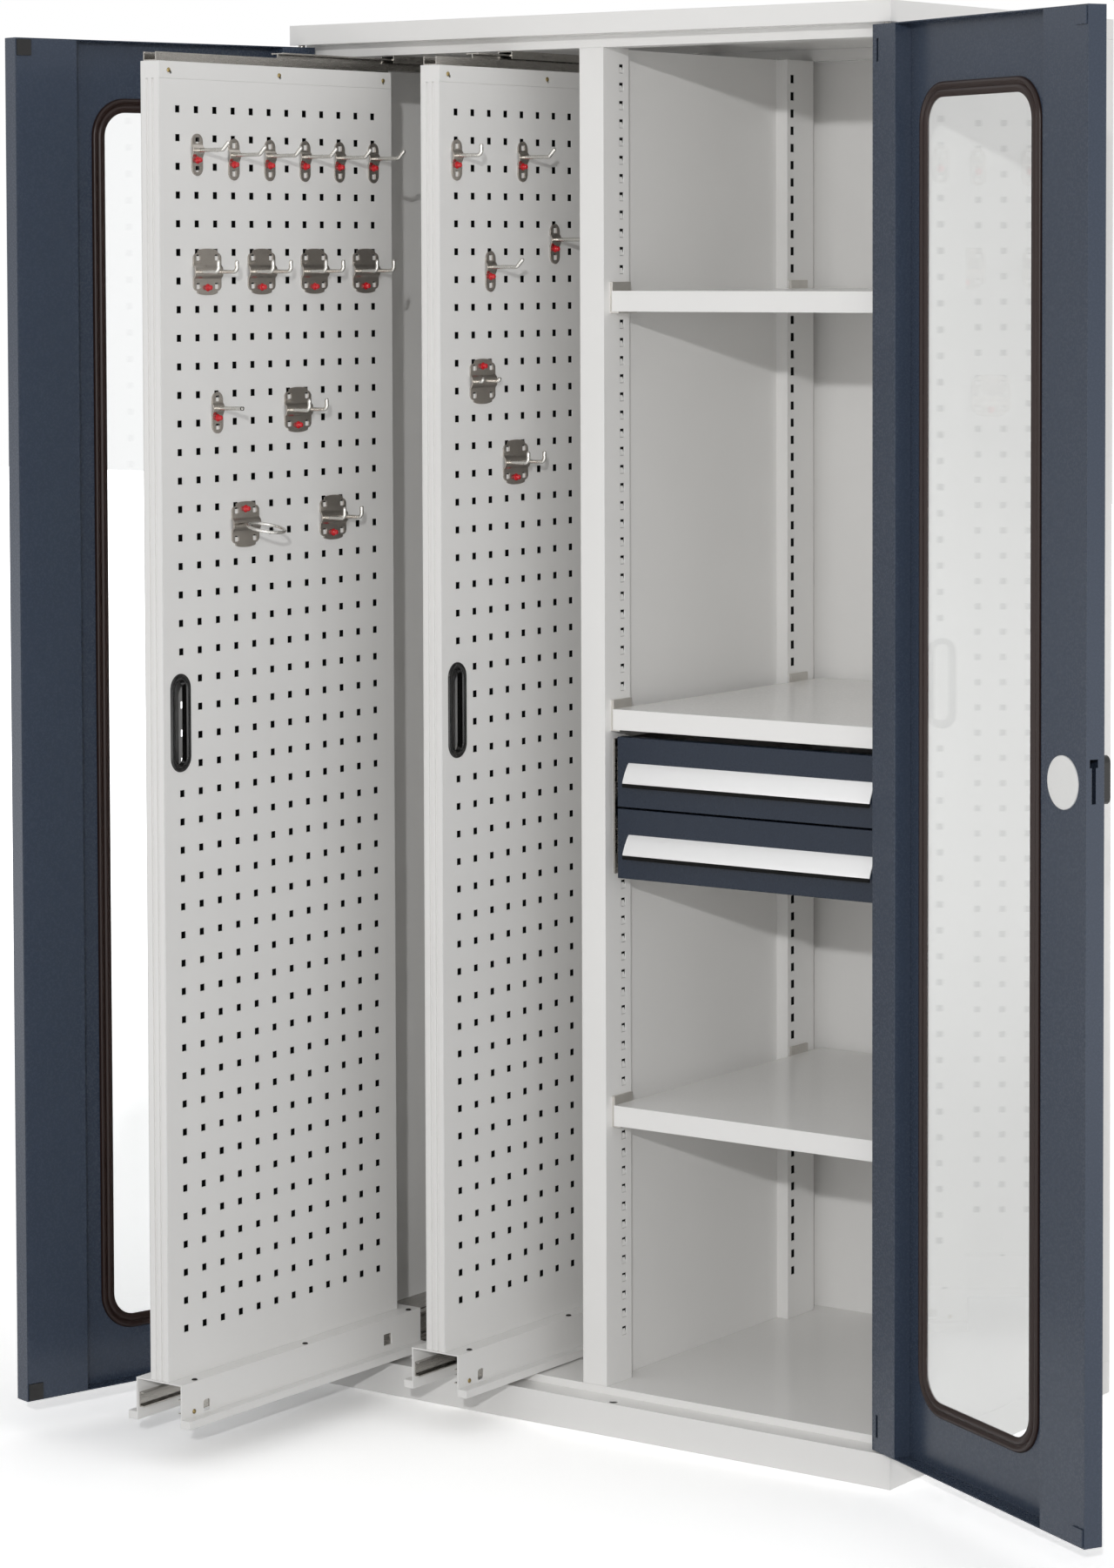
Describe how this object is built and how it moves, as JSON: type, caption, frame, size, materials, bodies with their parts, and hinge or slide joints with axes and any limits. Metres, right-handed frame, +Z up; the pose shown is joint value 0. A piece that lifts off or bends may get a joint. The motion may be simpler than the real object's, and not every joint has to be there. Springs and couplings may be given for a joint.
{
  "type": "tool cabinet",
  "caption": "Tall steel tool cabinet with glazed hinged doors, perforated pull-out panels with tool hooks, shelves and drawers.",
  "frame": {"origin": "on the floor, under the middle of the cabinet's footprint (width 1.000 m, depth 0.600 m)", "axes": "+X to the right seen from the front, +Y to the back, +Z up"},
  "size_m": [1.5524, 1.07, 1.95],
  "materials": {
    "body_grey": "light grey powder coat, satin, fine orange peel",
    "sheet_grey": "light grey powder coat on perforated sheet",
    "blue_grey": "dark blue-grey powder coat, satin",
    "cover_grey": "pale grey enamel",
    "rubber": "matte black-brown ribbed rubber",
    "pane": "clear glossy acrylic",
    "black_plastic": "black moulded plastic",
    "red_plastic": "red moulded plastic",
    "nickel": "nickel-plated steel",
    "zinc": "zinc-plated steel",
    "strip": "bright anodised aluminium, satin"
  },
  "bodies": {
    "cabinet": {"left_side_panel": "body_grey", "right_side_panel": "body_grey", "back_panel": "body_grey", "top_cap": "body_grey", "plinth": "body_grey", "floor_panel": "body_grey", "top_rails": "body_grey", "centre_post": "body_grey", "slotted_uprights": "body_grey", "partition": "body_grey", "shelf_bottom": "body_grey", "shelf_middle": "body_grey", "shelf_top": "body_grey", "shelf_clips": "zinc", "drawer_brackets": "zinc", "panel_slide_bases": "zinc", "panel_slide_rails": "zinc", "pivot_pins": "zinc"},
    "left_door": {"left_door_skin": "blue_grey", "left_door_channels": "blue_grey", "left_door_window": "pane", "left_door_gasket": "rubber", "left_door_caps": "black_plastic"},
    "right_door": {"right_door_skin": "blue_grey", "right_door_channels": "blue_grey", "right_door_window": "pane", "right_door_gasket": "rubber", "right_door_caps": "black_plastic", "lock_cover": "cover_grey"},
    "knob": {"lock_knob": "black_plastic", "lock_cam": "zinc"},
    "upper_rod": {"upper_lock_rod": "zinc"},
    "lower_rod": {"lower_lock_rod": "zinc"},
    "panel_1": {"panel_1_sheets": "sheet_grey", "panel_1_frame": "body_grey", "panel_1_carriage": "body_grey", "panel_1_grips": "black_plastic", "panel_1_single_hooks": "nickel", "panel_1_double_hooks": "nickel", "panel_1_ring_hook": "nickel", "panel_1_hook_clips": "red_plastic", "panel_1_slides": "zinc"},
    "panel_1_mids": {"panel_1_slide_mids": "zinc"},
    "panel_2": {"panel_2_sheets": "sheet_grey", "panel_2_frame": "body_grey", "panel_2_carriage": "body_grey", "panel_2_grips": "black_plastic", "panel_2_single_hooks": "nickel", "panel_2_double_hooks": "nickel", "panel_2_hook_clips": "red_plastic", "panel_2_slides": "zinc"},
    "panel_2_mids": {"panel_2_slide_mids": "zinc"},
    "drawer_1": {"drawer_1_tray": "body_grey", "drawer_1_front": "blue_grey", "drawer_1_handle": "strip"},
    "drawer_1_mids": {"drawer_1_slide_mids": "zinc"},
    "drawer_2": {"drawer_2_tray": "body_grey", "drawer_2_front": "blue_grey", "drawer_2_handle": "strip"},
    "drawer_2_mids": {"drawer_2_slide_mids": "zinc"}
  },
  "joints": [
    {"name": "right_door_hinge", "type": "hinge", "parent": "cabinet", "child": "right_door", "pos_m": [0.488, -0.288, 0], "axis": [0, 0, 1], "range_deg": [-152.5, 17.5]},
    {"name": "left_door_hinge", "type": "hinge", "parent": "cabinet", "child": "left_door", "pos_m": [-0.488, -0.288, 0], "axis": [0, 0, -1], "range_deg": [-19.5, 64.5]},
    {"name": "knob_turn", "type": "hinge", "parent": "right_door", "child": "knob", "pos_m": [0.88113, -0.48138, 0.98], "axis": [0.4617, 0.887, 0], "range_deg": [0, 90]},
    {"name": "upper_rod_slide", "type": "slide", "parent": "right_door", "child": "upper_rod", "axis": [0, 0, 1], "range_m": [0, 0.0169]},
    {"name": "lower_rod_slide", "type": "slide", "parent": "right_door", "child": "lower_rod", "axis": [0, 0, -1], "range_m": [0, 0.01697]},
    {"name": "panel_1_pull", "type": "slide", "parent": "cabinet", "child": "panel_1", "axis": [0, -1, 0], "range_m": [-0.518, 0]},
    {"name": "panel_1_mids_slide", "type": "slide", "parent": "cabinet", "child": "panel_1_mids", "axis": [0, -1, 0], "range_m": [-0.259, 0]},
    {"name": "panel_2_pull", "type": "slide", "parent": "cabinet", "child": "panel_2", "axis": [0, -1, 0], "range_m": [-0.18, 0.338]},
    {"name": "panel_2_mids_slide", "type": "slide", "parent": "cabinet", "child": "panel_2_mids", "axis": [0, -1, 0], "range_m": [-0.09, 0.169]},
    {"name": "drawer_1_pull", "type": "slide", "parent": "cabinet", "child": "drawer_1", "axis": [0, -1, 0], "range_m": [0, 0.38]},
    {"name": "drawer_1_mids_slide", "type": "slide", "parent": "cabinet", "child": "drawer_1_mids", "axis": [0, -1, 0], "range_m": [0, 0.19]},
    {"name": "drawer_2_pull", "type": "slide", "parent": "cabinet", "child": "drawer_2", "axis": [0, -1, 0], "range_m": [0, 0.38]},
    {"name": "drawer_2_mids_slide", "type": "slide", "parent": "cabinet", "child": "drawer_2_mids", "axis": [0, -1, 0], "range_m": [0, 0.19]}
  ],
  "couplings": [
    {"joint": "knob_turn", "follows": "upper_rod_slide", "rad_per_m": 92.56},
    {"joint": "lower_rod_slide", "follows": "upper_rod_slide", "ratio": 1},
    {"joint": "panel_1_mids_slide", "follows": "panel_1_pull", "ratio": 0.5},
    {"joint": "panel_2_mids_slide", "follows": "panel_2_pull", "ratio": 0.5},
    {"joint": "drawer_1_mids_slide", "follows": "drawer_1_pull", "ratio": 0.5},
    {"joint": "drawer_2_mids_slide", "follows": "drawer_2_pull", "ratio": 0.5}
  ]
}
